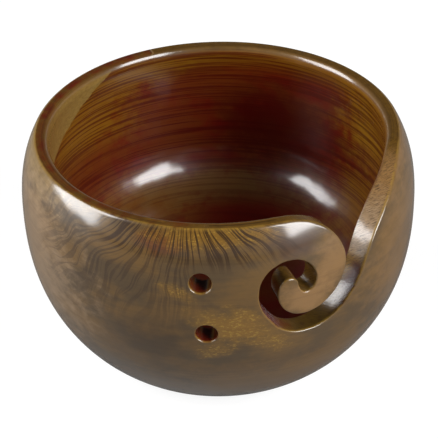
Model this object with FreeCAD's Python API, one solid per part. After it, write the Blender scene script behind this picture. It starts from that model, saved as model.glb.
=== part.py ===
"""Yarn bowl, turned from one block of wood.

The bowl is one piece: a lathe-turned body with a flat foot and a rounded rim, a spiral yarn slot
sawn through its front wall from the rim, and two yarn holes drilled beside the slot.

Frame: origin at the centre of the foot, +Z up, the spiral faces -Y. Lengths are in millimetres.
A place on the wall is given as (across, height): across is the distance round the widest circle
from the middle of the spiral, positive towards +X, and height is above the foot. The saw and the
drill are held level and point at the bowl's axis all the way.
"""
import FreeCAD, Part
import math
import os

# Driving dimensions
BOWL_RADIUS = 76.0
RIM_HEIGHT = 99.1
EQUATOR_HEIGHT = 68.2
WALL = 8.9
FLOOR = 28.0
YARN_HOLE_RADIUS = 4.0
YARN_HOLES = [(-39.0, 80.1), (-37.3, 58.3)]

# The wall's curves are superellipses about the equator: (half height, power) above and below it
OUTER_ABOVE = (57.1, 2.55)
OUTER_BELOW = (75.8, 2.23)
INNER_ABOVE = (78.0, 2.15)
INNER_BELOW = (EQUATOR_HEIGHT - FLOOR, 3.3)
INNER_RADIUS = BOWL_RADIUS - WALL

# Rounding
RIM_OUTER_ROUND = 1.1
RIM_INNER_ROUND = 2.5
FOOT_ROUND = 1.5

# The saw's path, once round the opening of the slot. It comes down from the rim on the right,
# passes under the hook and over it to the eye, and goes back along the hook to the nose.
RIGHT_SHOULDER = [(74.0, 99.6), (66.5, 98.6), (60.0, 97.0), (54.0, 95.1), (46.0, 91.6), (38.0, 87.2),
                  (31.0, 81.8)]
OUTSIDE_OF_SPIRAL = [(26.8, 75.5), (22.8, 68.3), (17.4, 61.6), (9.3, 55.9), (0.3, 54.1), (-8.2, 56.3),
                     (-14.3, 62.5), (-17.6, 68.6), (-18.3, 75.0), (-16.4, 80.8), (-11.8, 84.6), (-6.0, 85.7)]
EYE = [(-0.6, 84.0), (2.9, 79.6), (3.3, 75.2), (1.2, 72.3), (-1.7, 72.2), (-3.4, 74.7)]
TIP_OF_HOOK = [(-4.2, 77.4), (-6.7, 78.8), (-9.8, 77.5), (-11.4, 73.4)]
INSIDE_OF_SPIRAL = [(-10.6, 68.6), (-7.4, 64.5), (-2.6, 62.5), (2.8, 62.9), (8.2, 65.4), (12.6, 69.4),
                    (15.4, 74.4)]
NOSE = [(16.5, 80.0), (15.4, 85.6), (12.0, 91.4), (6.4, 96.0), (-0.8, 98.5), (-9.0, 99.6)]
SLOT_OUTLINE = RIGHT_SHOULDER + OUTSIDE_OF_SPIRAL + EYE + TIP_OF_HOOK + INSIDE_OF_SPIRAL + NOSE

PROFILE_STEPS = 24
SAW_STROKES = 12
STEPS_IN_STROKE = 10
SAW_OUTSIDE = 7.0
SAW_INSIDE = 17.0
NEAR = 0.01


def superellipse_radius(height, radius, above, below):
    """Radius of a wall curve at a height."""
    half_height, power = above if height > EQUATOR_HEIGHT else below
    reach = min(abs(height - EQUATOR_HEIGHT) / half_height, 1.0)
    return radius * (1.0 - reach ** power) ** (1.0 / power)


def outer_radius(height):
    return superellipse_radius(height, BOWL_RADIUS, OUTER_ABOVE, OUTER_BELOW)


def inner_radius(height):
    return superellipse_radius(height, INNER_RADIUS, INNER_ABOVE, INNER_BELOW)


def wall_curve(radius_at, low, high):
    """Smooth edge in the XZ plane through points of a wall curve, closer together near its ends."""
    points = []
    for step in range(PROFILE_STEPS + 1):
        share = 0.5 - 0.5 * math.cos(math.pi * step / PROFILE_STEPS)
        height = low + (high - low) * share
        points.append(FreeCAD.Vector(radius_at(height), 0, height))
    curve = Part.BSplineCurve()
    curve.interpolate(points)
    return curve.toShape()


def edges_at(solid, radius, height):
    """The edges of a turned solid that run round it at a radius and a height."""
    found = []
    for edge in solid.Edges:
        point = edge.Vertexes[0].Point
        off_radius = abs(math.hypot(point.x, point.y) - radius)
        off_height = abs(point.z - height)
        if max(off_radius, off_height) < NEAR and edge.Length > radius:
            found.append(edge)
    return found


def turned_body():
    """The bowl as it comes off the lathe."""
    foot_radius = outer_radius(0.0)
    rim_radius = outer_radius(RIM_HEIGHT)
    mouth_radius = inner_radius(RIM_HEIGHT)
    foot = Part.LineSegment(FreeCAD.Vector(0, 0, 0), FreeCAD.Vector(foot_radius, 0, 0)).toShape()
    outside = wall_curve(outer_radius, 0.0, RIM_HEIGHT)
    rim_outer = FreeCAD.Vector(rim_radius, 0, RIM_HEIGHT)
    rim_inner = FreeCAD.Vector(mouth_radius, 0, RIM_HEIGHT)
    rim = Part.LineSegment(rim_outer, rim_inner).toShape()
    inside = wall_curve(inner_radius, FLOOR, RIM_HEIGHT)
    axis = Part.LineSegment(FreeCAD.Vector(0, 0, FLOOR), FreeCAD.Vector(0, 0, 0)).toShape()
    outline = Part.Wire(Part.__sortEdges__([foot, outside, rim, inside, axis]))
    body = Part.Face(outline).revolve(FreeCAD.Vector(0, 0, 0), FreeCAD.Vector(0, 0, 1), 360.0)
    body = body.makeFillet(RIM_INNER_ROUND, edges_at(body, mouth_radius, RIM_HEIGHT))
    body = body.makeFillet(RIM_OUTER_ROUND, edges_at(body, rim_radius, RIM_HEIGHT))
    return body.makeFillet(FOOT_ROUND, edges_at(body, foot_radius, 0.0))


def wall_point(across, height, outward):
    """A point level with a place on the outer wall, moved straight out from the bowl's axis."""
    turn = across / BOWL_RADIUS
    radius = outer_radius(height) + outward
    return FreeCAD.Vector(radius * math.sin(turn), -radius * math.cos(turn), height)


def saw_stroke(path):
    """One stretch of the sawn surface."""
    sides = []
    for outward in (SAW_OUTSIDE, -SAW_INSIDE):
        side = Part.BSplineCurve()
        side.interpolate([wall_point(point.x, point.y, outward) for point in path])
        sides.append(side.toShape())
    return Part.makeRuledSurface(sides[0], sides[1])


def saw_cut():
    """The sawn surface all the way round the slot, stroke after stroke."""
    outline = Part.BSplineCurve()
    outline.interpolate([FreeCAD.Vector(across, height, 0) for across, height in SLOT_OUTLINE])
    path = outline.discretize(SAW_STROKES * STEPS_IN_STROKE + 1)
    starts = range(0, SAW_STROKES * STEPS_IN_STROKE, STEPS_IN_STROKE)
    return Part.makeShell([saw_stroke(path[start:start + STEPS_IN_STROKE + 1]) for start in starts])


def larger_piece(solid, cut):
    """The larger of the pieces that a cutting surface parts a solid into."""
    pieces, _ = solid.generalFuse([cut])
    return max(pieces.Solids, key=lambda piece: piece.Volume)


def yarn_hole(across, height):
    """The drill's path through the wall."""
    start = wall_point(across, height, SAW_OUTSIDE)
    end = wall_point(across, height, -SAW_INSIDE)
    return Part.makeCylinder(YARN_HOLE_RADIUS, (end - start).Length, start, end - start)


def bowl():
    body = larger_piece(turned_body(), saw_cut())
    for across, height in YARN_HOLES:
        body = body.cut(yarn_hole(across, height))
    return body.Solids[0]


os.makedirs("parts", exist_ok=True)
shape = bowl()
shape.exportStep("parts/bowl.step")
print("bowl", shape.isValid(), round(shape.Volume), "mm3", shape.BoundBox)
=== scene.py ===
# %% [markdown]
# # A yarn bowl in lacquered rosewood
# A yarn bowl is one block of wood, turned on a lathe. A spiral slot is sawn through its front wall,
# two yarn holes are drilled beside the slot, and everything is sanded and lacquered. It could be
# modelled by spinning a profile and cutting the slot with a Boolean. But a Boolean leaves the glossy
# wall with uneven faces round the cut, and its edges can't be rounded well. So the wall is drawn
# flat, like a strip of veneer with the slot already in it, and is then wrapped round the bowl.

# %% The frame
import bpy
import math
import numpy as np
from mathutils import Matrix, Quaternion, Vector
from mathutils.kdtree import KDTree


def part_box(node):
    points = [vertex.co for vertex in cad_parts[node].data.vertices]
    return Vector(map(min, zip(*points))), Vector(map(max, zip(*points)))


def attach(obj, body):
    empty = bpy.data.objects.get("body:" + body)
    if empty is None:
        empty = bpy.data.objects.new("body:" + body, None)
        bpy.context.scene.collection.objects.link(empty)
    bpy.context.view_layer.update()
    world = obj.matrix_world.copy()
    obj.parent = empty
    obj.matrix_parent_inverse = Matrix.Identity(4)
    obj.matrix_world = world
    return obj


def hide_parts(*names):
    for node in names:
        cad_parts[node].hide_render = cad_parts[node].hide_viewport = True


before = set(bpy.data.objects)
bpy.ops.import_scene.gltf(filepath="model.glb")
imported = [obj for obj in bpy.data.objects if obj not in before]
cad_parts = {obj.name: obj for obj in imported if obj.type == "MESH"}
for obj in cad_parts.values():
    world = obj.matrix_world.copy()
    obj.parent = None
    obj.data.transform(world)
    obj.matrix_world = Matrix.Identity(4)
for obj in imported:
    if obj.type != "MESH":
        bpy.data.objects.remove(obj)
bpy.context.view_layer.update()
LOW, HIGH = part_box("bowl")
MM = 0.001
RADIUS = (HIGH.x - LOW.x) / 2
RIM = HIGH.z
print("bowl is", round(RADIUS * 2 / MM, 1), "mm wide and", round(RIM / MM, 1), "mm high")

# %% [markdown]
# ## The camera
# The camera comes first, because everything is judged through it. It looks down into the bowl from
# the left of the spiral, with a long lens that keeps the round rim from looking stretched. It leans
# by about a degree, as a camera held by hand does.

# %% The camera
EYE_TURN = math.radians(-114.0)
EYE_LIFT = math.radians(34.16)
EYE_DISTANCE = 8.0 * RADIUS
EYE_AIM = 0.569 * RIM
LENS = 126.4
SENSOR_WIDTH = 36.0
LEAN = math.radians(-1.39)


def point_at(thing, target, lean=0.0):
    """Turns a camera or a light so that it looks at a place."""
    towards = target - thing.location
    turn = towards.to_track_quat("-Z", "Y") @ Quaternion((0, 0, 1), lean)
    thing.rotation_euler = turn.to_euler()


def direction(turn, lift):
    """Unit vector from its angle round the Z axis and its angle above the floor."""
    return Vector((math.cos(turn) * math.cos(lift), math.sin(turn) * math.cos(lift), math.sin(lift)))


target = Vector((0, 0, EYE_AIM))
bpy.ops.object.camera_add(location=target + EYE_DISTANCE * direction(EYE_TURN, EYE_LIFT))
camera = bpy.context.object
camera.name = "camera"
camera.data.lens = LENS
camera.data.sensor_width = SENSOR_WIDTH
point_at(camera, target, LEAN)
bpy.context.scene.camera = camera
print("camera stands at", tuple(round(value, 3) for value in camera.location))

# %% [markdown]
# ## The wall's curves
# A turned wall is drawn by its radius at each height. Both skins of this bowl are superellipses:
# fuller than a circle above the widest place, where the wall comes back in to the rim. One formula
# with two pairs of numbers gives each skin, so the outside, the inside and the slot always agree.

# %% The wall's curves
WIDEST = 68.2 * MM
WALL = 8.9 * MM
FLOOR = 28.0 * MM
OUTSIDE = ((57.1 * MM, 2.55), (75.8 * MM, 2.23))
INSIDE = ((78.0 * MM, 2.15), (WIDEST - FLOOR, 3.3))


def skin_radius(height, radius, halves):
    """Radius of a skin at a height. halves holds (half height, power) above and below the widest."""
    half_height, power = halves[0] if height > WIDEST else halves[1]
    reach = min(abs(height - WIDEST) / half_height, 1.0)
    return radius * (1.0 - reach ** power) ** (1.0 / power)


def outer_radius(height):
    return skin_radius(height, RADIUS, OUTSIDE)


def inner_radius(height):
    return skin_radius(height, RADIUS - WALL, INSIDE)


print("rim is", round((outer_radius(RIM) - inner_radius(RIM)) / MM, 1), "mm thick before rounding")

# %% [markdown]
# ## The slot's outline
# The saw starts at the rim on the right, comes down the shoulder, passes under the hook and over it,
# and goes back along the hook to the nose, which runs out into the rim again. The outline is drawn
# as a Bezier curve with automatic handles, which passes smoothly through measured points, and the
# curve is then turned into a line of mesh vertices. X is the distance round the widest circle from
# the middle of the spiral, and Z is the height, both in millimetres.

# %% The slot's outline
SHOULDER = [(73.6, 99.1), (66.5, 98.45), (60.0, 97.0), (54.0, 95.1), (46.0, 91.6), (38.0, 87.2),
            (31.0, 81.8)]
ROUND_THE_SPIRAL = [(26.8, 75.5), (22.8, 68.3), (17.4, 61.6), (9.3, 55.9), (0.3, 54.1),
                    (-8.2, 56.3), (-14.3, 62.5), (-17.6, 68.6), (-18.3, 75.0), (-16.4, 80.8),
                    (-11.8, 84.6), (-6.0, 85.7)]
EYE = [(-0.6, 84.0), (2.9, 79.6), (3.3, 75.2), (1.2, 72.3), (-1.7, 72.2), (-3.4, 74.7)]
HOOK_TIP = [(-4.2, 77.4), (-6.7, 78.8), (-9.8, 77.5), (-11.4, 73.4)]
INSIDE_THE_SPIRAL = [(-10.6, 68.6), (-7.4, 64.5), (-2.6, 62.5), (2.8, 62.9), (8.2, 65.4),
                     (12.6, 69.4), (15.4, 74.4)]
NOSE = [(16.5, 80.0), (15.4, 85.6), (12.0, 91.4), (6.4, 95.9), (-0.8, 98.35), (-9.4, 99.1)]
SLOT = SHOULDER + ROUND_THE_SPIRAL + EYE + HOOK_TIP + INSIDE_THE_SPIRAL + NOSE
POINTS_PER_SPAN = 8


def line_through(points):
    """Points of a smooth line through given points in the XZ plane."""
    bpy.ops.object.select_all(action="DESELECT")
    bpy.ops.curve.primitive_bezier_curve_add(location=(0, 0, 0))
    drawn = bpy.context.object
    spline = drawn.data.splines[0]
    spline.bezier_points.add(len(points) - 2)
    for knot, (across, height) in zip(spline.bezier_points, points):
        knot.co = (across, 0, height)
        knot.handle_left_type = "AUTO"
        knot.handle_right_type = "AUTO"
    drawn.data.resolution_u = POINTS_PER_SPAN
    bpy.ops.object.convert(target="MESH")
    line = [vertex.co.copy() for vertex in drawn.data.vertices]
    bpy.data.objects.remove(drawn)
    return line


slot_line = line_through(SLOT)
print("slot outline has", len(slot_line), "points")

# %% [markdown]
# ## The wall, laid flat
# The wall above the slot's foot is drawn as one flat sheet. A sheet could be a grid with the slot cut
# out of it, but then the slot's edge would cross the grid's faces at all angles. Here the outline
# comes first. It is made of two faces that meet along the yarn holes' middle line, because a face
# can't have a hole in it. All lengths on the sheet are in millimetres.

# %% Outlines of the sheet
ROUND_STEPS = 240
SHEET_FOOT = 50.0
YARN_HOLES = [(-39.0, 80.1), (-37.3, 58.3)]
HOLE_RADIUS = 4.0
HOLE_STEPS = 48
HALF_ROUND = math.pi * RADIUS / MM
CELL = 2 * HALF_ROUND / ROUND_STEPS
RIM_MM = RIM / MM


def half_circle(centre, side):
    """Points down one side of a yarn hole, from its top to its bottom. side is -1 or 1."""
    points = []
    for step in range(HOLE_STEPS // 2 + 1):
        turn = 2 * math.pi * step / HOLE_STEPS
        across = centre[0] + side * HOLE_RADIUS * math.sin(turn)
        points.append(Vector((across, 0, centre[1] + HOLE_RADIUS * math.cos(turn))))
    return points


def rim_line(start, end):
    """Points along the flat rim between two places, one at each cell's edge."""
    first = math.floor(start / CELL) + 1
    last = math.ceil(end / CELL) - 1
    return [Vector((CELL * step, 0, RIM_MM)) for step in range(first, last + 1)]


upper, lower = YARN_HOLES
middle = [Vector((CELL * round(lower[0] / CELL), 0, SHEET_FOOT))]
corner_left = Vector((-HALF_ROUND, 0, SHEET_FOOT))
corner_right = Vector((HALF_ROUND, 0, SHEET_FOOT))
top_of_middle = Vector((CELL * round(upper[0] / CELL), 0, RIM_MM))
rim_left = [Vector((-HALF_ROUND, 0, RIM_MM))] + rim_line(-HALF_ROUND, top_of_middle.x)
rim_by_nose = rim_line(top_of_middle.x, slot_line[-1].x)[:-1]
rim_right = rim_line(slot_line[0].x, HALF_ROUND)[1:] + [Vector((HALF_ROUND, 0, RIM_MM))]
left_outline = ([corner_left] + middle + half_circle(lower, -1)[::-1] + half_circle(upper, -1)[::-1]
                + [top_of_middle] + rim_left[::-1])
right_outline = (middle + [corner_right] + rim_right[::-1] + slot_line + rim_by_nose[::-1]
                 + [top_of_middle] + half_circle(upper, 1) + half_circle(lower, 1))
print("outlines have", len(left_outline), "and", len(right_outline), "points")

# %% [markdown]
# ## From outlines to a sheet
# The F key's operator fills each outline, and the two faces are joined and extruded to the wall's
# thickness. A Solidify modifier would do as well, but extruding leaves plain side faces that are
# easy to find again. The foot and the two ends stay open, because other wood carries on there.

# %% The sheet
WALL_MM = WALL / MM
SAME_PLACE = 0.01
FLAT = 0.999


def select_where(mesh_object, kind, wanted):
    """Selects the vertices, edges or faces of a mesh for which wanted says yes."""
    bpy.ops.object.mode_set(mode="EDIT")
    bpy.ops.mesh.select_mode(type=kind)
    bpy.ops.mesh.select_all(action="DESELECT")
    bpy.ops.object.mode_set(mode="OBJECT")
    mesh = mesh_object.data
    parts = {"VERT": mesh.vertices, "EDGE": mesh.edges, "FACE": mesh.polygons}[kind]
    for part in parts:
        part.select = bool(wanted(part))
    bpy.ops.object.mode_set(mode="EDIT")


def flat_face(name, outline):
    """A mesh object with one face inside an outline."""
    mesh = bpy.data.meshes.new(name)
    count = len(outline)
    mesh.from_pydata(outline, [(step, (step + 1) % count) for step in range(count)], [])
    made = bpy.data.objects.new(name, mesh)
    bpy.context.collection.objects.link(made)
    bpy.ops.object.select_all(action="DESELECT")
    bpy.context.view_layer.objects.active = made
    made.select_set(True)
    bpy.ops.object.mode_set(mode="EDIT")
    bpy.ops.mesh.select_all(action="SELECT")
    bpy.ops.mesh.edge_face_add()
    bpy.ops.object.mode_set(mode="OBJECT")
    return made


bowl = flat_face("turned_bowl", right_outline)
other = flat_face("left_part", left_outline)
bowl.select_set(True)
bpy.context.view_layer.objects.active = bowl
bpy.ops.object.join()
bpy.ops.object.mode_set(mode="EDIT")
bpy.ops.mesh.select_all(action="SELECT")
bpy.ops.mesh.remove_doubles(threshold=SAME_PLACE)
bpy.ops.mesh.extrude_region_move(TRANSFORM_OT_translate={"value": (0, WALL_MM, 0)})
bpy.ops.mesh.select_all(action="SELECT")
bpy.ops.mesh.normals_make_consistent(inside=False)
bpy.ops.object.mode_set(mode="OBJECT")
print("sheet has", len(bowl.data.vertices), "vertices and", len(bowl.data.polygons), "faces")

# %% [markdown]
# ## Open ends
# Extruding also closed the sheet's foot and its two ends. Left in, these faces would be walls inside
# the finished bowl, and its skin would not be closed. They are picked out by where they lie.

# %% Open ends


def is_open_end(face):
    """The sheet's foot and its two ends, where it meets the rest of the bowl and itself."""
    at_foot = face.normal.z < -FLAT and face.center.z < SHEET_FOOT + SAME_PLACE
    return at_foot or abs(face.center.x) > HALF_ROUND - SAME_PLACE


select_where(bowl, "FACE", is_open_end)
bpy.ops.mesh.delete(type="FACE")
bpy.ops.object.mode_set(mode="OBJECT")
print("sheet has", len(bowl.data.polygons), "faces with its ends open")

# %% [markdown]
# ## Yarn holes that narrow inwards
# A drill makes a hole of the same width all the way. On the flat sheet the inner skin is as long as
# the outer one, though it goes round a smaller circle. So the inner end of each hole is widened
# across now, and comes out round when the sheet is wrapped.

# %% Inner ends of the yarn holes


def inside_of_hole(hole):
    """A test for the inner ends of a yarn hole's sides."""
    reach = HOLE_RADIUS + SAME_PLACE
    return lambda vertex: vertex.co.y > SAME_PLACE and (vertex.co.xz - Vector(hole)).length < reach


for hole in YARN_HOLES:
    spread = RADIUS / inner_radius(hole[1] * MM)
    select_where(bowl, "VERT", inside_of_hole(hole))
    bpy.ops.transform.resize(value=(spread, 1, 1), center_override=(hole[0], 0, hole[1]))
    bpy.ops.object.mode_set(mode="OBJECT")
    print("yarn hole widened inside by", round(spread, 3))

# %% [markdown]
# ## Rounded edges
# Sanding leaves no sharp edge: the rim is round, more so on its inner edge, and the slot and the yarn
# holes have a small even rounding. On flat faces with no cuts in them a bevel stays perfectly even,
# so this is the time for it. The edges' bevel weights blend one rounding into the next.

# %% Rounded edges
SLOT_ROUND = 0.65
RIM_ROUND_OUTSIDE = 1.1
RIM_ROUND_INSIDE = 4.6
BLEND_FROM = 88.0
ROUND_CUTS = 5
HOLE_EDGE = HOLE_RADIUS + 1.0


def rounding(edge):
    """Width of the rounding along an edge of the sheet, in millimetres, or none."""
    start, end = (bowl.data.vertices[index].co for index in edge.vertices)
    goes_through = abs(start.y - end.y) > SAME_PLACE
    at_foot = min(start.z, end.z) < SHEET_FOOT + SAME_PLACE
    at_end = abs(start.x + end.x) / 2 > HALF_ROUND - SAME_PLACE
    on_middle_line = start.x < upper[0] + HOLE_RADIUS and (start.xz - end.xz).length > 2 * CELL
    if goes_through or at_foot or at_end or on_middle_line:
        return 0.0
    height = (start.z + end.z) / 2
    share = min(max((height - BLEND_FROM) / (RIM_MM - BLEND_FROM), 0.0), 1.0)
    share = share * share * (3 - 2 * share)
    if any((start.xz - Vector(hole)).length < HOLE_EDGE for hole in YARN_HOLES):
        share = 0.0
    rim_round = RIM_ROUND_OUTSIDE if start.y < SAME_PLACE else RIM_ROUND_INSIDE
    return SLOT_ROUND + (rim_round - SLOT_ROUND) * share


weights = bowl.data.attributes.new("bevel_weight_edge", "FLOAT", "EDGE")
for edge in bowl.data.edges:
    weights.data[edge.index].value = rounding(edge) / RIM_ROUND_INSIDE
bevel = bowl.modifiers.new("rounded edges", "BEVEL")
bevel.limit_method = "WEIGHT"
bevel.width = RIM_ROUND_INSIDE
bevel.segments = ROUND_CUTS
bevel.use_clamp_overlap = False
bpy.ops.object.modifier_apply(modifier=bevel.name)
print("rounded sheet has", len(bowl.data.polygons), "faces")

# %% [markdown]
# ## A grid on the flat faces
# The two big faces can't be wrapped as they are: a face needs corners to bend at. Bisecting them at
# even steps, first across and then up, leaves cells of two millimetres that end cleanly at the
# rounded edges. Only the big faces are selected, so the roundings keep their even strips.

# %% The grid
ROWS = 25


def is_flat(face):
    return abs(face.normal.y) > FLAT


def cut_flat_faces(place, normal):
    """Bisects the sheet's flat faces with a plane."""
    bpy.ops.mesh.select_all(action="SELECT")
    bpy.ops.mesh.bisect(plane_co=place, plane_no=normal)


select_where(bowl, "FACE", is_flat)
bpy.ops.mesh.hide(unselected=True)
for step in range(-ROUND_STEPS // 2 + 1, ROUND_STEPS // 2):
    cut_flat_faces((CELL * step, 0, 0), (1, 0, 0))
for row in range(1, ROWS):
    cut_flat_faces((0, 0, SHEET_FOOT + (RIM_MM - SHEET_FOOT) * row / ROWS), (0, 0, 1))
bpy.ops.mesh.reveal(select=False)
bpy.ops.object.mode_set(mode="OBJECT")
print("sheet has", len(bowl.data.polygons), "faces after the grid")

# %% [markdown]
# ## Wrapping the wall round the bowl
# Blender's bend modifier turns a sheet into a cylinder, but it can't follow the two skins' curves.
# So each vertex is moved by the wall's own formulas: its X becomes an angle round the axis, its Y
# chooses a place between the two skins, and its Z stays the height. Lacquer shows every fault of the
# shading, so the sheet's exact normals are carried through the same formulas and kept with it.

# %% Formulas for wrapping
NUDGE = 0.01 * MM


def wrapped(flat):
    """Angle, radius and height on the bowl of a place on the flat sheet."""
    height = min(flat.z * MM, RIM)
    depth = flat.y / WALL_MM
    radius = outer_radius(height) * (1 - depth) + inner_radius(height) * depth
    return flat.x * MM / RADIUS, radius, height


def wrapped_normal(flat, normal):
    """The bowl's normal for a normal of the flat sheet at a place."""
    turn, radius, height = wrapped(flat)
    across = (inner_radius(height) - outer_radius(height)) / WALL
    below = wrapped(flat - Vector((0, 0, NUDGE / MM)))[1]
    above = wrapped(flat + Vector((0, 0, NUDGE / MM)))[1]
    climb = (above - below) / (2 * NUDGE) if flat.z * MM + NUDGE < RIM else (radius - below) / NUDGE
    outward = normal.y / across
    upward = normal.z - outward * climb
    sideways = normal.x * RADIUS / radius
    turned = Vector((sideways * math.cos(turn) + outward * math.sin(turn),
                     sideways * math.sin(turn) - outward * math.cos(turn), upward))
    return turned.normalized()


print("rim's outer edge is", round(wrapped(Vector((0, 0, RIM_MM)))[1] / MM, 1), "mm from the axis")

# %% [markdown]
# ## The sheet's normals
# Blender's own normals lean a little wherever a big flat face meets a narrow rounding, and lacquer
# shows that as a dent. On the flat sheet the right normals are plain to see, so they are taken here.

# %% The sheet's normals
ON_EDGE = 0.001


def sheet_normals(mesh):
    """The flat sheet's normal at each vertex. Flat faces decide it wherever they meet a rounding."""
    sums = np.zeros((len(mesh.vertices), 3, 3))
    for face in mesh.polygons:
        flatness = abs(face.normal.y)
        kind = 0 if flatness > FLAT else 1 if flatness < ON_EDGE else 2
        for index in face.vertices:
            sums[index, kind] += np.array(face.normal) * (face.area if kind == 2 else 1.0)
    normals = []
    for kinds in sums:
        chosen = next(total for total in kinds if np.linalg.norm(total) > 0)
        normals.append(Vector(chosen).normalized())
    return normals


flat_normals = sheet_normals(bowl.data)
print("sheet has", len(flat_normals), "normals")

# %% [markdown]
# ## Wrapping, and what the wood needs to know
# A material can't tell a sawn face from a turned one, so the mesh tells it. Each vertex keeps how
# deep it lies in the wall, how much it belongs to a sawn face, and how far along the saw's path it
# is. These attributes go through the join with the mesh.

# %% Wrapping


def along_slot(line):
    """A finder for the distance along the slot's outline of a place on the sheet."""
    finder = KDTree(len(line))
    lengths = [0.0]
    for before, after in zip(line, line[1:]):
        lengths.append(lengths[-1] + (after - before).length)
    for index, point in enumerate(line):
        finder.insert(point, index)
    finder.balance()
    return lambda place: lengths[finder.find(Vector((place.x, 0, place.z)))[1]]


slot_length = along_slot(slot_line)
layers = bowl.data.attributes
layers.new("wall_normal", "FLOAT_VECTOR", "POINT")
for name in ("depth", "sawn", "saw_path"):
    layers.new(name, "FLOAT", "POINT")
for index, (vertex, normal) in enumerate(zip(bowl.data.vertices, flat_normals)):
    layers["wall_normal"].data[index].vector = wrapped_normal(vertex.co, normal)
    layers["depth"].data[index].value = vertex.co.y / WALL_MM
    layers["sawn"].data[index].value = 1 - abs(normal.y)
    layers["saw_path"].data[index].value = slot_length(vertex.co) * MM
for vertex in bowl.data.vertices:
    turn, radius, height = wrapped(vertex.co)
    vertex.co = (radius * math.sin(turn), -radius * math.cos(turn), height)
bowl.data.update()
print("wrapped wall is", tuple(round(size / MM, 1) for size in bowl.dimensions), "mm")

# %% [markdown]
# ## The turned base
# Below the slot the bowl is plain lathe work, so its section is drawn once and spun round the axis
# with as many steps as the wall has cells. The section runs down the outside, round the edge of the
# foot to the middle, and back up from the middle of the floor. The base then shares its top vertices
# with the wall, and merging them closes the bowl.

# %% The base's section
BASE_STEPS = 34
FOOT_ROUND = 2.5 * MM
FOOT_CUTS = 4
FOOT_RINGS = 8
SAME_POINT = 0.001 * MM


def section_down(radius, depth, power, bottom):
    """Section points of a skin, from the wall's foot down to a depth below the widest place."""
    first = math.asin(((WIDEST - SHEET_FOOT * MM) / depth) ** (power / 2))
    last = math.asin(min(((WIDEST - bottom) / depth) ** (power / 2), 1.0))
    points = []
    for step in range(BASE_STEPS + 1):
        lean = first + (last - first) * step / BASE_STEPS
        out = radius * max(math.cos(lean), 0.0) ** (2 / power)
        height = WIDEST - depth * math.sin(lean) ** (2 / power)
        points.append(Vector((0, -out, height)))
    return points


outside = section_down(RADIUS, *OUTSIDE[1], 0.0)
inside = section_down(RADIUS - WALL, *INSIDE[1], FLOOR)
foot_radius = -outside[-1].y
foot = [Vector((0, -foot_radius * (1 - step / FOOT_RINGS), 0)) for step in range(1, FOOT_RINGS + 1)]
section = outside + foot
corner = len(outside) - 1
lines = [(step, step + 1) for step in range(len(section) - 1)]
lines += [(len(section) + step, len(section) + step + 1) for step in range(len(inside) - 1)]
mesh = bpy.data.meshes.new("base")
mesh.from_pydata(section + inside, lines, [])
base = bpy.data.objects.new("base", mesh)
bpy.context.collection.objects.link(base)
print("foot is", round(2 * foot_radius / MM, 1), "mm across before rounding")

# %% [markdown]
# ## Spinning the base
# A lathe makes round things, and so does the Spin tool. The foot's edge is rounded on the section
# first, where that is a bevel of one corner. Vertices on the inner skin are marked for the wood.

# %% Spinning the base
bpy.ops.object.select_all(action="DESELECT")
bpy.context.view_layer.objects.active = base
base.select_set(True)
select_where(base, "VERT", lambda vertex: vertex.index == corner)
bpy.ops.mesh.bevel(offset=FOOT_ROUND, segments=FOOT_CUTS, affect="VERTICES")
bpy.ops.mesh.select_all(action="SELECT")
bpy.ops.mesh.spin(steps=ROUND_STEPS, angle=2 * math.pi, center=(0, 0, 0), axis=(0, 0, 1))
bpy.ops.mesh.select_all(action="SELECT")
bpy.ops.mesh.remove_doubles(threshold=SAME_POINT)
bpy.ops.mesh.normals_make_consistent(inside=False)
bpy.ops.object.mode_set(mode="OBJECT")
depths = base.data.attributes.new("depth", "FLOAT", "POINT")
for vertex in base.data.vertices:
    halfway = 0.5 * (outer_radius(vertex.co.z) + inner_radius(vertex.co.z))
    is_inner = vertex.co.z > FLOOR - NUDGE and vertex.co.xy.length < halfway
    depths.data[vertex.index].value = float(is_inner)
print("base has", len(base.data.polygons), "faces")

# %% [markdown]
# ## One piece of wood
# The wall and the base become one closed skin, as they are one block of wood. The wall keeps the
# normals that its formulas gave. The base gets Blender's own, which are exact enough on lathe work.

# %% One piece of wood
bowl.select_set(True)
bpy.context.view_layer.objects.active = bowl
bpy.ops.object.join()
bpy.ops.object.mode_set(mode="EDIT")
bpy.ops.mesh.select_all(action="SELECT")
bpy.ops.mesh.remove_doubles(threshold=2 * SAME_POINT)
bpy.ops.mesh.normals_make_consistent(inside=False)
bpy.ops.object.mode_set(mode="OBJECT")
bpy.ops.object.shade_smooth()
normals = []
for vertex in bowl.data.vertices:
    from_wall = bowl.data.attributes["wall_normal"].data[vertex.index].vector.copy()
    normals.append(from_wall if from_wall.length > 0 else vertex.normal.copy())
bowl.data.normals_split_custom_set_from_vertices(normals)
bowl.data.attributes.remove(bowl.data.attributes["wall_normal"])
faces_at_edge = np.bincount([loop.edge_index for loop in bowl.data.loops])
print("bowl has", len(bowl.data.polygons), "faces;", int((faces_at_edge != 2).sum()), "open edges")

# %% [markdown]
# ## Node helpers
# A wood finish is a long chain of small nodes, so each kind of node gets one short function. A value
# given to these functions may be a number, a colour or another node's output.

# %% Node helpers


def feed(tree, socket, value):
    """Sets a socket to a plain value, or links another node's output to it."""
    if isinstance(value, bpy.types.NodeSocket):
        tree.links.new(value, socket)
    elif hasattr(socket.default_value, "__len__") and len(socket.default_value) == 4:
        socket.default_value = (*value, 1.0)[:4]
    else:
        socket.default_value = value


def maths(tree, operation, first, second):
    made = tree.nodes.new("ShaderNodeMath")
    made.operation = operation
    feed(tree, made.inputs[0], first)
    feed(tree, made.inputs[1], second)
    return made.outputs[0]


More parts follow.
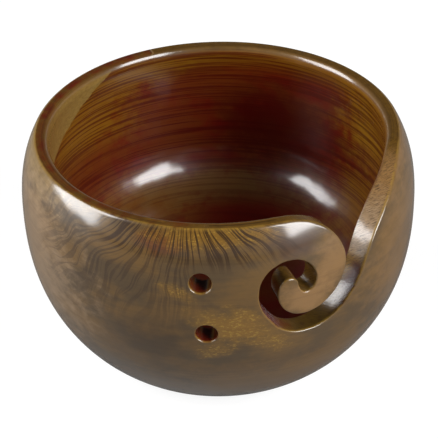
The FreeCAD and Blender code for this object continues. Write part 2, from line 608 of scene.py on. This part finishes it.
def stretch(tree, vector, size, place=(0, 0, 0), turn=(0, 0, 0)):
    """The vector measured in steps of size from a place, along turned axes."""
    made = tree.nodes.new("ShaderNodeMapping")
    made.vector_type = "TEXTURE"
    feed(tree, made.inputs["Vector"], vector)
    feed(tree, made.inputs["Location"], place)
    feed(tree, made.inputs["Rotation"], turn)
    feed(tree, made.inputs["Scale"], size)
    return made.outputs[0]


def noise(tree, vector, detail, roughness=0.5):
    made = tree.nodes.new("ShaderNodeTexNoise")
    feed(tree, made.inputs["Vector"], vector)
    feed(tree, made.inputs["Scale"], 1.0)
    feed(tree, made.inputs["Detail"], detail)
    feed(tree, made.inputs["Roughness"], roughness)
    return made.outputs["Fac"]


def between(tree, value, low, high, start=0.0, end=1.0):
    """Eases from start to end while a value goes from low to high."""
    made = tree.nodes.new("ShaderNodeMapRange")
    made.interpolation_type = "SMOOTHSTEP"
    for socket, amount in zip(made.inputs[:5], (value, low, high, start, end)):
        feed(tree, socket, amount)
    return made.outputs[0]


def blend(tree, share, first, second):
    """Colour that goes from first to second as share goes from 0 to 1."""
    made = tree.nodes.new("ShaderNodeMix")
    made.data_type = "RGBA"
    feed(tree, made.inputs[0], share)
    feed(tree, made.inputs[6], first)
    feed(tree, made.inputs[7], second)
    return made.outputs[2]


def split(tree, vector):
    """The three numbers of a vector."""
    made = tree.nodes.new("ShaderNodeSeparateXYZ")
    feed(tree, made.inputs[0], vector)
    return made.outputs


def length_of(tree, vector):
    made = tree.nodes.new("ShaderNodeVectorMath")
    made.operation = "LENGTH"
    feed(tree, made.inputs[0], vector)
    return made.outputs["Value"]


def combine(tree, x, y, z):
    made = tree.nodes.new("ShaderNodeCombineXYZ")
    for socket, amount in zip(made.inputs, (x, y, z)):
        feed(tree, socket, amount)
    return made.outputs[0]


def new_group(name, inputs, outputs):
    """An empty node group with named sockets, and its input and output nodes."""
    tree = bpy.data.node_groups.new(name, "ShaderNodeTree")
    for socket, kind in inputs.items():
        tree.interface.new_socket(socket, in_out="INPUT", socket_type=kind)
    for socket, kind in outputs.items():
        tree.interface.new_socket(socket, in_out="OUTPUT", socket_type=kind)
    return tree, tree.nodes.new("NodeGroupInput").outputs, tree.nodes.new("NodeGroupOutput").inputs


def use_group(tree, group, **values):
    """Places a group and feeds its inputs. A socket called "Line width" is fed as line_width."""
    made = tree.nodes.new("ShaderNodeGroup")
    made.node_tree = group
    for name, value in values.items():
        feed(tree, made.inputs[name.replace("_", " ").capitalize()], value)
    return made.outputs


print("node helpers ready in Blender", bpy.app.version_string)

# %% [markdown]
# ## Where a point is on the wall
# The grain follows the block of wood, but the coloured patches belong to places on the wall. This
# group turns Object coordinates into the sheet's own: the distance round the wall, and the height.

# %% Wall coordinates
ON_WALL, given, result = new_group("wall_coordinates", {"Place": "NodeSocketVector"},
                                   {"Wall": "NodeSocketVector"})
x, y, z = split(ON_WALL, given["Place"])
turn = maths(ON_WALL, "ARCTAN2", x, maths(ON_WALL, "MULTIPLY", y, -1.0))
across = maths(ON_WALL, "MULTIPLY", turn, RADIUS)
feed(ON_WALL, result["Wall"], combine(ON_WALL, across, z, 0.0))
print(ON_WALL.name, "has", len(ON_WALL.nodes), "nodes")

# %% [markdown]
# ## Grain lines
# Growth layers show as thin dark lines where the cut runs across them. Real ones are uneven: they
# bunch up, fade and fork. A noise that is squeezed in one direction gives such lines, and two of
# them at different scales, added, give bunches of fine lines. A wave texture would be too regular.

# %% Grain lines
BROAD_SHARE = 0.55
GRAIN, given, result = new_group(
    "grain_lines",
    {"Vector": "NodeSocketVector", "Fine": "NodeSocketFloat", "Contrast": "NodeSocketFloat"},
    {"Lines": "NodeSocketFloat"})
broad = noise(GRAIN, given["Vector"], detail=3.0, roughness=0.6)
scaled = GRAIN.nodes.new("ShaderNodeVectorMath")
scaled.operation = "SCALE"
feed(GRAIN, scaled.inputs[0], given["Vector"])
feed(GRAIN, scaled.inputs["Scale"], given["Fine"])
fine = noise(GRAIN, scaled.outputs[0], detail=2.0, roughness=0.55)
both = maths(GRAIN, "ADD", maths(GRAIN, "MULTIPLY", broad, BROAD_SHARE),
             maths(GRAIN, "MULTIPLY", fine, 1.0 - BROAD_SHARE))
spread = maths(GRAIN, "MULTIPLY", maths(GRAIN, "SUBTRACT", both, 0.5), given["Contrast"])
feed(GRAIN, result["Lines"], between(GRAIN, maths(GRAIN, "ADD", spread, 0.5), 0.0, 1.0))
print(GRAIN.name, "has", len(GRAIN.nodes), "nodes")

# %% [markdown]
# ## Patches
# Rosewood has clouds of another colour with ragged edges. A patch is a soft oval on the wall, turned
# and sized, whose edge is eaten into by a noise. Painting them by hand would need an image.

# %% Patches
FADES_OUT = 1.3
FULL_INSIDE = 0.35
PATCH, given, result = new_group(
    "patch",
    {"Wall": "NodeSocketVector", "Centre": "NodeSocketVector", "Size": "NodeSocketVector",
     "Turn": "NodeSocketVector", "Ragged": "NodeSocketFloat", "Raggedness": "NodeSocketFloat"},
    {"Patch": "NodeSocketFloat"})
oval = stretch(PATCH, given["Wall"], given["Size"], given["Centre"], given["Turn"])
eaten = maths(PATCH, "MULTIPLY", maths(PATCH, "SUBTRACT", given["Ragged"], 0.5), given["Raggedness"])
reach = maths(PATCH, "ADD", length_of(PATCH, oval), eaten)
feed(PATCH, result["Patch"], between(PATCH, reach, FADES_OUT, FULL_INSIDE))
print(PATCH.name, "has", len(PATCH.nodes), "nodes")

# %% [markdown]
# ## Lacquered rosewood
# The outside is middle brown with thin dark lines that fan out below the rim on the left, and golden
# clouds round the yarn holes. The inside is deep red with fine level lines, and golden towards its
# sides and its rim. A pale band at its upper left is painted light, a lit strip above a crisp line of
# shade. The sawn faces show the ends of the same fibres, with sanding scratches. All of it lies under
# a gloss lacquer, the shader's coat. It is one material, as it is one piece of wood, and its colour
# is built in layers, a cell for each.

# %% Rosewood colours
BROWN = (0.125, 0.066, 0.016)
GREY_BROWN = (0.076, 0.045, 0.017)
WARM_BROWN = (0.155, 0.081, 0.021)
DARK_OLIVE = (0.060, 0.034, 0.005)
DARK_BROWN = (0.028, 0.012, 0.004)
PURPLE_BROWN = (0.050, 0.022, 0.018)
GOLD = (0.190, 0.095, 0.012)
BRIGHT_GOLD = (0.340, 0.200, 0.030)
TAN = (0.225, 0.122, 0.045)
KHAKI = (0.230, 0.140, 0.034)
PALE = (0.290, 0.190, 0.105)
RUST = (0.105, 0.020, 0.002)
RED = (0.105, 0.0035, 0.0006)
DARK_RED = (0.050, 0.0008, 0.0002)
OLIVE = (0.170, 0.072, 0.003)
YELLOW_OLIVE = (0.215, 0.100, 0.004)
print("palest wood has", round(PALE[0] / DARK_BROWN[0]), "times the red of the dark grain")

# %% [markdown]
# ## Places that the layers read
# Grain runs through the block, so it reads Object coordinates. Patches read the wall coordinates.
# Their angle jumps at the back of the bowl, so the inside, whose back is in full view, reads them
# half turned, with the jump at the front. The sawn faces read the attributes kept in the mesh.

# %% Places
material = bpy.data.materials.new("lacquered_rosewood")
material.use_nodes = True
wood = material.node_tree
lacquered = wood.nodes["Principled BSDF"]
block = wood.nodes.new("ShaderNodeTexCoord").outputs["Object"]


def attribute(name):
    made = wood.nodes.new("ShaderNodeAttribute")
    made.attribute_name = name
    return made.outputs["Fac"]


wall = use_group(wood, ON_WALL, place=block)["Wall"]
wall_inside = use_group(wood, ON_WALL, place=stretch(wood, block, (-1, -1, 1)))["Wall"]
from_front, above_foot, _ = split(wood, wall)
from_back = split(wood, wall_inside)[0]
depth, is_sawn, saw_path = (attribute(name) for name in ("depth", "sawn", "saw_path"))
print("layers read", block.name, "coordinates, the wall and", len(bowl.data.attributes), "attributes")

# %% [markdown]
# ## Noises that layers share
# Real patterns in one piece of wood are linked: the same clouds and fibres show inside and out. So
# each noise is made once, at the size of what it draws, and several layers use it. Sizes are in
# millimetres along X, Y and Z. Growth layers lie nearly level, so the rings are wide and very thin.

# %% Shared noises
CLOUD_SIZE = (22.0, 22.0, 12.0)
RAGGED_SIZE = (6.0, 6.0, 4.0)
WAVE_SIZE = (16.0, 16.0, 16.0)
FLECK_SIZE = (1.5, 1.5, 0.7)
RINGS_SIZE = (90.0, 90.0, 1.1)


def in_block(size):
    """The block's coordinates, measured in steps of a size in millimetres."""
    return stretch(wood, block, [side * MM for side in size])


def block_noise(size, detail, roughness=0.5):
    return noise(wood, in_block(size), detail, roughness)


def times(first, second):
    return maths(wood, "MULTIPLY", first, second)


def over(length, low, high, start=0.0, end=1.0):
    """Eases from start to end while a length goes from low to high millimetres."""
    return between(wood, length, low * MM, high * MM, start, end)


cloud = block_noise(CLOUD_SIZE, detail=4.0, roughness=0.6)
ragged = block_noise(RAGGED_SIZE, detail=4.0, roughness=0.65)
waves = block_noise(WAVE_SIZE, detail=1.0)
flecks = block_noise(FLECK_SIZE, detail=3.0, roughness=0.7)
rings = use_group(wood, GRAIN, vector=in_block(RINGS_SIZE), fine=2.1, contrast=4.0)["Lines"]
print("shared noises made;", len(wood.nodes), "nodes so far")

# %% [markdown]
# ## Laying patches
# One list per surface says where its patches are and what colour they give. A loop lays them one
# over another, so the last in a list lies on top.

# %% Laying patches
RAGGEDNESS = 1.6


def add_patches(colour, patches, surface):
    """Lays a list of patches over a colour. Returns the colour, and a mask for each patch."""
    masks = []
    for _, (right, up), (width, height), tilt, tint, strength in patches:
        mask = use_group(
            wood, PATCH, wall=surface, centre=(right * MM, up * MM, 0),
            size=(width * MM, height * MM, 1), turn=(0, 0, math.radians(tilt)), ragged=ragged,
            raggedness=RAGGEDNESS)["Patch"]
        colour = blend(wood, times(mask, strength), colour, tint)
        masks.append(mask)
    return colour, masks


print("a patch's edge wanders by up to", RAGGEDNESS / 2, "of its size")

# %% [markdown]
# ## Outside: clouds, patches and painted glints
# The outside starts as two browns in soft clouds. Patches then tint what belongs to one place, such
# as the tan hook or the sapwood on the left shoulder; the pale patch on the left side is partly
# painted sheen. The golden ones carry bright flecks, painted glints where the gloss lets light into
# the fibres.

# %% Outside
CLOUD_EDGE = (0.38, 0.62)
FLECK_EDGE = (0.52, 0.66)
GLINT_STRENGTH = 0.65

# Name, middle and half size on the wall in millimetres, turn in degrees, colour, strength
OUTER_PATCHES = [
    ("dark lower left", (-62, 50), (22, 12), 30, DARK_BROWN, 0.30),
    ("dark low middle", (-12, 40), (30, 5), 0, DARK_BROWN, 0.25),
    ("warm foot", (10, 24), (90, 17), 0, WARM_BROWN, 0.75),
    ("purple under the nose", (-4, 92), (10, 6), 0, PURPLE_BROWN, 0.60),
    ("hook", (0, 70), (11, 8), 0, TAN, 0.85),
    ("hook arm", (11, 80), (9, 12), 0, TAN, 0.70),
    ("rust under the rim", (-54, 94), (10, 4), 0, RUST, 0.75),
    ("sapwood left shoulder", (-158, 101), (62, 15), 0, KHAKI, 0.95),
    ("pale right rim", (120, 102), (85, 12), 0, TAN, 0.70),
    # Painted sheen: the tan left side is made paler and greyer where its lacquer mirrors the bright
    # room.
    ("tan left side with painted sheen", (-128, 64), (42, 36), 0, PALE, 0.65),
    ("tan right side", (62, 62), (36, 30), 0, TAN, 0.50),
]
GOLD_PATCHES = [
    ("below the holes", (-28, 61), (17, 6), -18, GOLD, 0.85),
    ("under the lower hole", (-34, 50), (9, 4), 10, GOLD, 0.60),
    ("beside the upper hole", (-47, 76), (7, 3), -20, GOLD, 0.70),
    ("between hole and spiral", (-24, 67), (8, 3), -30, GOLD, 0.60),
    ("below the spiral", (-14, 52), (9, 4), -20, GOLD, 0.50),
    ("under the rim", (-34, 97), (26, 5), 3, GOLD, 0.80),
]

outside = blend(wood, between(wood, cloud, *CLOUD_EDGE), GREY_BROWN, BROWN)
outside, _ = add_patches(outside, OUTER_PATCHES, wall)
outside, gold_masks = add_patches(outside, GOLD_PATCHES, wall)
golden = 0.0
for mask in gold_masks:
    golden = maths(wood, "MAXIMUM", mask, golden)
# Painted glints: bright gold flecks over the golden patches, where the gloss lets light into the
# fibres.
glints = times(between(wood, flecks, *FLECK_EDGE), golden)
outside = blend(wood, times(glints, GLINT_STRENGTH), outside, BRIGHT_GOLD)
print("outside has", len(OUTER_PATCHES) + len(GOLD_PATCHES), "patches")

# %% [markdown]
# ## Outside: the fan of grain
# Below the rim on the left the growth layers meet the turned surface at a low angle, and show as wavy
# lines that fan out from one place. Polar coordinates about a point above the rim turn the straight
# grain lines into such a fan, and a slow noise makes them sway. They are dark under the rim, fade
# down the wall, and stay off the spiral.

# %% The fan of grain
FAN_APEX = (-46.0, 120.0)
FAN_SWAY = 0.24
FAN_LINES_PER_RADIAN = 24.0
FAN_BREAKS_PER_METRE = 22.0
FAN_EDGE = (0.58, 0.28)

# Limits in millimetres, and for some the strengths at them
LEFT_OF_SPIRAL = (-34, -50, 0.0, 0.55)
LEFT_END_OF_FAN = (-125, -85, 0.15, 1.0)
FOOT_OF_FAN = (50, 85)
UNDER_THE_RIM = (82, 92, 0.0, 0.90)
NEAR_THE_APEX = (65, 35)
PORE_EDGE = (0.45, 0.10)
PORE_STRENGTH = 0.12

from_apex = stretch(wood, wall, (1, 1, 1), (FAN_APEX[0] * MM, FAN_APEX[1] * MM, 0))
sideways, upwards, _ = split(wood, from_apex)
angle = maths(wood, "ARCTAN2", sideways, times(upwards, -1.0))
sway = times(maths(wood, "SUBTRACT", waves, 0.5), FAN_SWAY)
far = length_of(wood, from_apex)
across_lines = times(maths(wood, "ADD", angle, sway), FAN_LINES_PER_RADIAN)
fan_place = combine(wood, across_lines, times(far, FAN_BREAKS_PER_METRE), 0.0)
fan = use_group(wood, GRAIN, vector=fan_place, fine=1.9, contrast=3.4)["Lines"]
on_left_side = times(over(from_front, *LEFT_OF_SPIRAL), over(from_front, *LEFT_END_OF_FAN))
down_the_wall = times(on_left_side, over(above_foot, *FOOT_OF_FAN))
under_the_rim = times(over(above_foot, *UNDER_THE_RIM), over(far, *NEAR_THE_APEX))
fan_strength = maths(wood, "MAXIMUM", down_the_wall, under_the_rim)
outside = blend(wood, times(between(wood, fan, *FAN_EDGE), fan_strength), outside, DARK_BROWN)
outside = blend(wood, between(wood, rings, *PORE_EDGE, 0.0, PORE_STRENGTH), outside, DARK_BROWN)
print("fan's apex is", round(FAN_APEX[1] - RIM_MM, 1), "mm above the rim")

# %% [markdown]
# ## Inside: red heart, golden sides and a painted lit band
# Looking in, one sees the block's dark heart at the back and paler wood to both sides and under the
# rim. Fine level lines run all round, because the growth layers lie nearly level. At the upper left a
# pale flecked band is painted light: the wall is lit above a crisp sloping line and in shade below
# it.

# %% Inside
HEART_EDGE = (0.40, 0.60)
RINGS_EDGE = (0.58, 0.22)
RINGS_STRENGTH = 0.75
# The pale band at the upper left is painted light: lit wall above a crisp sloping line of shade.
LIT_BAND_SLOPE = 0.5
LIT_BAND_FRAY = 4.0 * MM
LIT_BAND_FLECKS = (0.40, 0.60, 0.0, 0.45)

# Limits in millimetres, and for some the strengths at them
OLIVE_UNDER_RIM = (84, 96, 0.0, 0.75)
RINGS_OVER_FLOOR = (30, 55, 0.35, 1.0)
SHADE_LINE = (110.8, 111.6)
LIT_BAND_END = (170, 145)

# Across is counted from the middle of the back for these, positive to the left
INNER_PATCHES = [
    ("dark back", (-62, 62), (34, 20), 0, DARK_RED, 0.80),
    ("rust upper back", (-20, 84), (34, 10), 0, RUST, 0.90),
    ("rust left of the middle", (-4, 64), (26, 22), 0, RUST, 0.85),
    ("golden left side", (46, 78), (40, 24), 0, OLIVE, 0.85),
    ("golden upper left", (6, 92), (30, 8), 0, OLIVE, 0.90),
    ("rust lower left", (44, 54), (40, 12), 0, RUST, 0.80),
    ("olive floor left", (20, 36), (40, 9), 0, OLIVE, 0.60),
    ("brown cove", (-30, 37), (60, 5), 0, WARM_BROWN, 0.70),
    ("red middle of the floor", (-56, 28), (44, 6), 0, RED, 0.90),
    ("golden right side", (-128, 82), (30, 26), 0, YELLOW_OLIVE, 0.95),
    ("golden lower right", (-122, 46), (26, 14), 0, OLIVE, 0.85),
]

inside = blend(wood, between(wood, cloud, *HEART_EDGE), RED, RUST)
inside, _ = add_patches(inside, INNER_PATCHES, wall_inside)
inside = blend(wood, over(above_foot, *OLIVE_UNDER_RIM), inside, OLIVE)
dark_rings = between(wood, rings, *RINGS_EDGE, 0.0, RINGS_STRENGTH)
inside = blend(wood, times(dark_rings, over(above_foot, *RINGS_OVER_FLOOR)), inside, DARK_RED)
# Painted light: a pale flecked band where the upper left wall is lit, above a crisp line of shade.
sloping = maths(wood, "ADD", above_foot, times(from_back, LIT_BAND_SLOPE))
frayed = maths(wood, "ADD", sloping, times(ragged, LIT_BAND_FRAY))
in_lit_band = times(over(frayed, *SHADE_LINE), over(from_back, *LIT_BAND_END))
khaki_band = blend(wood, between(wood, flecks, *LIT_BAND_FLECKS), KHAKI, BROWN)
inside = blend(wood, in_lit_band, inside, khaki_band)
print("inside has", len(INNER_PATCHES), "patches")

# %% [markdown]
# ## Outside and inside together
# The wood doesn't change at a line, so the two colours melt into each other through the wall. The
# rim's top keeps the outside's colour, because it looks like that side and not like the red heart.

# %% Outside and inside together
THROUGH_THE_WALL = (0.3, 0.9)
TOP_OF_RIM = (96.5, 98.5)
below_rim = maths(wood, "SUBTRACT", 1.0, over(above_foot, *TOP_OF_RIM))
turned = blend(wood, times(between(wood, depth, *THROUGH_THE_WALL), below_rim), outside, inside)
print("rim takes the outside's wood from", TOP_OF_RIM[0], "mm up")

# %% [markdown]
# ## Sawn faces
# A saw cut goes through pale and dark layers in turn, so the faces change colour along the saw's
# path, and the pale middle of the right face also carries a painted sheen. Sanding leaves short
# scratches at a slant across them, and a painted highlight in bright gold runs along the outer edge,
# where its rounding catches the light. Here a place is the distance along the saw's path and the
# depth into the wall.

# %% Sawn faces
MOTTLE_SIZE = (3.0, 3.0, 3.0)
SCRATCH_SIZE = (3.0 * MM, 0.22 * MM, 1.0)
SCRATCH_SLANT = math.radians(50)
SCRATCH_EDGE = (0.52, 0.38)
SCRATCH_STRENGTH = 0.75
EDGE_HIGHLIGHT_DEPTH = (0.16, 0.04)
EDGE_HIGHLIGHT_RAGGED = (0.35, 0.55)
EDGE_HIGHLIGHT_STRENGTH = 0.6

# Distance along the saw's path and depth into the wall for these
SAWN_PATCHES = [
    ("tan upper face", (24, 5), (16, 10), 0, TAN, 0.85),
    ("pale middle face with painted sheen", (45, 4), (15, 10), 0, PALE, 0.90),
    # Partly painted sheen: the middle of the right face is paler where its lacquer mirrors the left
    # soft box.
    ("golden lower face", (60, 5), (7, 9), 0, GOLD, 0.90),
    ("red foot of the face", (66, 2), (10, 4), 0, DARK_RED, 0.95),
    ("olive bottom", (88, 4), (11, 8), 0, DARK_OLIVE, 0.85),
    ("red arm", (112, 5), (14, 9), 0, RED, 0.95),
    ("gold eye", (150, 5), (10, 9), 0, GOLD, 0.50),
]

face = combine(wood, saw_path, times(depth, WALL), 0.0)
cut = blend(wood, block_noise(MOTTLE_SIZE, detail=4.0, roughness=0.7), DARK_BROWN, GOLD)
cut, _ = add_patches(cut, SAWN_PATCHES, face)
scratch_place = stretch(wood, face, SCRATCH_SIZE, turn=(0, 0, SCRATCH_SLANT))
scratches = noise(wood, scratch_place, detail=2.0, roughness=0.6)
cut = blend(wood, between(wood, scratches, *SCRATCH_EDGE, 0.0, SCRATCH_STRENGTH), cut, DARK_BROWN)
# Painted highlight: bright gold along the sawn faces' outer edge, where the rounding catches light.
edge_highlight = times(between(wood, depth, *EDGE_HIGHLIGHT_DEPTH), between(wood, ragged, *EDGE_HIGHLIGHT_RAGGED))
cut = blend(wood, times(edge_highlight, EDGE_HIGHLIGHT_STRENGTH), cut, BRIGHT_GOLD)
feed(wood, lacquered.inputs["Base Color"], blend(wood, is_sawn, turned, cut))
print("sawn faces have", len(SAWN_PATCHES), "patches")

# %% [markdown]
# ## The lacquer
# Lacquer on turned wood swells a little from place to place, and is thin over the scratches. That is
# far too small for the mesh, so a bump moves only the shading. The gloss is the shader's coat, over
# a duller base that stands for the oiled wood.

# %% The lacquer
LACQUER_SWELL = 0.3 * MM
SWELL_SIZE = (12.0, 12.0, 12.0)
SCRATCH_DEPTH = 0.15
LACQUER = {"Roughness": 0.40, "Specular IOR Level": 0.2, "Coat Weight": 1.0, "Coat Roughness": 0.16,
           "Coat IOR": 1.6}

scratched = times(times(scratches, is_sawn), SCRATCH_DEPTH)
bump = wood.nodes.new("ShaderNodeBump")
bump.inputs["Strength"].default_value = 1.0
bump.inputs["Distance"].default_value = LACQUER_SWELL
feed(wood, bump.inputs["Height"], maths(wood, "ADD", block_noise(SWELL_SIZE, detail=1.0), scratched))
feed(wood, lacquered.inputs["Normal"], bump.outputs[0])
feed(wood, lacquered.inputs["Coat Normal"], bump.outputs[0])
for name, value in LACQUER.items():
    lacquered.inputs[name].default_value = value

bowl.data.materials.clear()
bowl.data.materials.append(material)
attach(bowl, "root")
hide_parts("bowl")
print("material has", len(wood.nodes), "nodes")

# %% [markdown]
# ## The floor
# Small glossy things are shot on a sweep of pale paper. It is burnt out to white for the camera, but
# what the lacquer reflects is much greyer. So the paper glows only for the camera's own rays.

# %% Floor
FLOOR_SIZE = 8.0
SWEEP_GREY = 0.20
BURNT_OUT = 0.85
bpy.ops.object.select_all(action="DESELECT")
bpy.ops.mesh.primitive_plane_add(size=FLOOR_SIZE, location=(0, 0, 0))
floor = bpy.context.object
floor.name = "floor"
sweep = bpy.data.materials.new("white_sweep")
sweep.use_nodes = True
paper = sweep.node_tree.nodes["Principled BSDF"]
paper.inputs["Base Color"].default_value = (SWEEP_GREY, SWEEP_GREY, SWEEP_GREY, 1)
paper.inputs["Roughness"].default_value = 1.0
paper.inputs["Specular IOR Level"].default_value = 0.0
paper.inputs["Emission Color"].default_value = (1, 1, 1, 1)
seen = sweep.node_tree.nodes.new("ShaderNodeLightPath").outputs["Is Camera Ray"]
glow = maths(sweep.node_tree, "MULTIPLY", seen, BURNT_OUT)
feed(sweep.node_tree, paper.inputs["Emission Strength"], glow)
floor.data.materials.append(sweep)
print("floor is", FLOOR_SIZE, "m wide")

# %% [markdown]
# ## Lights
# On a glossy bowl the lights are seen as much as they light. Two soft boxes do both, one at the front
# right and one at the left. Both are tall and come down low, so their reflections run from the rim
# to the bottom of the inside. A point lamp would leave only small hard dots.

# %% Lights
# Turn and lift in degrees, width and height in metres, power in watts
SOFT_BOXES = {
    "front_right": (-62.0, 28.0, 0.56, 0.64, 15.0),
    "left": (160.0, 24.0, 0.64, 0.78, 16.5),
}
BOX_DISTANCE = 1.0
BOX_AIM = 0.06
middle_of_bowl = Vector((0, 0, BOX_AIM))
for name, (turn, lift, width, height, power) in SOFT_BOXES.items():
    towards = direction(math.radians(turn), math.radians(lift))
    bpy.ops.object.light_add(type="AREA", location=middle_of_bowl + BOX_DISTANCE * towards)
    lamp = bpy.context.object
    lamp.name = name
    lamp.data.shape = "RECTANGLE"
    lamp.data.size = width
    lamp.data.size_y = height
    lamp.data.energy = power
    point_at(lamp, middle_of_bowl)
    print(name, "box is at", tuple(round(value, 2) for value in lamp.location))

# %% [markdown]
# ## The room
# The room is pale near the horizon, which gives the sides of the bowl their sheen, and dark above,
# which keeps the middle of the bowl deep. A picture of a room would light it too, but this fade by
# height needs no file.

# %% The room
HORIZON_LIGHT = 0.32
CEILING_LIGHT = 0.01
ROOM_FADE = (0.05, 0.35)
world = bpy.data.worlds.new("studio")
bpy.context.scene.world = world
world.use_nodes = True
sky = world.node_tree
rise = split(sky, sky.nodes.new("ShaderNodeTexCoord").outputs["Generated"])[2]
dim = between(sky, rise, *ROOM_FADE, HORIZON_LIGHT, CEILING_LIGHT)
sky.nodes["Background"].inputs["Color"].default_value = (1, 1, 1, 1)
feed(sky, sky.nodes["Background"].inputs["Strength"], dim)
bpy.context.scene.view_settings.view_transform = "Standard"
print("room fades from", HORIZON_LIGHT, "at the horizon to", CEILING_LIGHT)
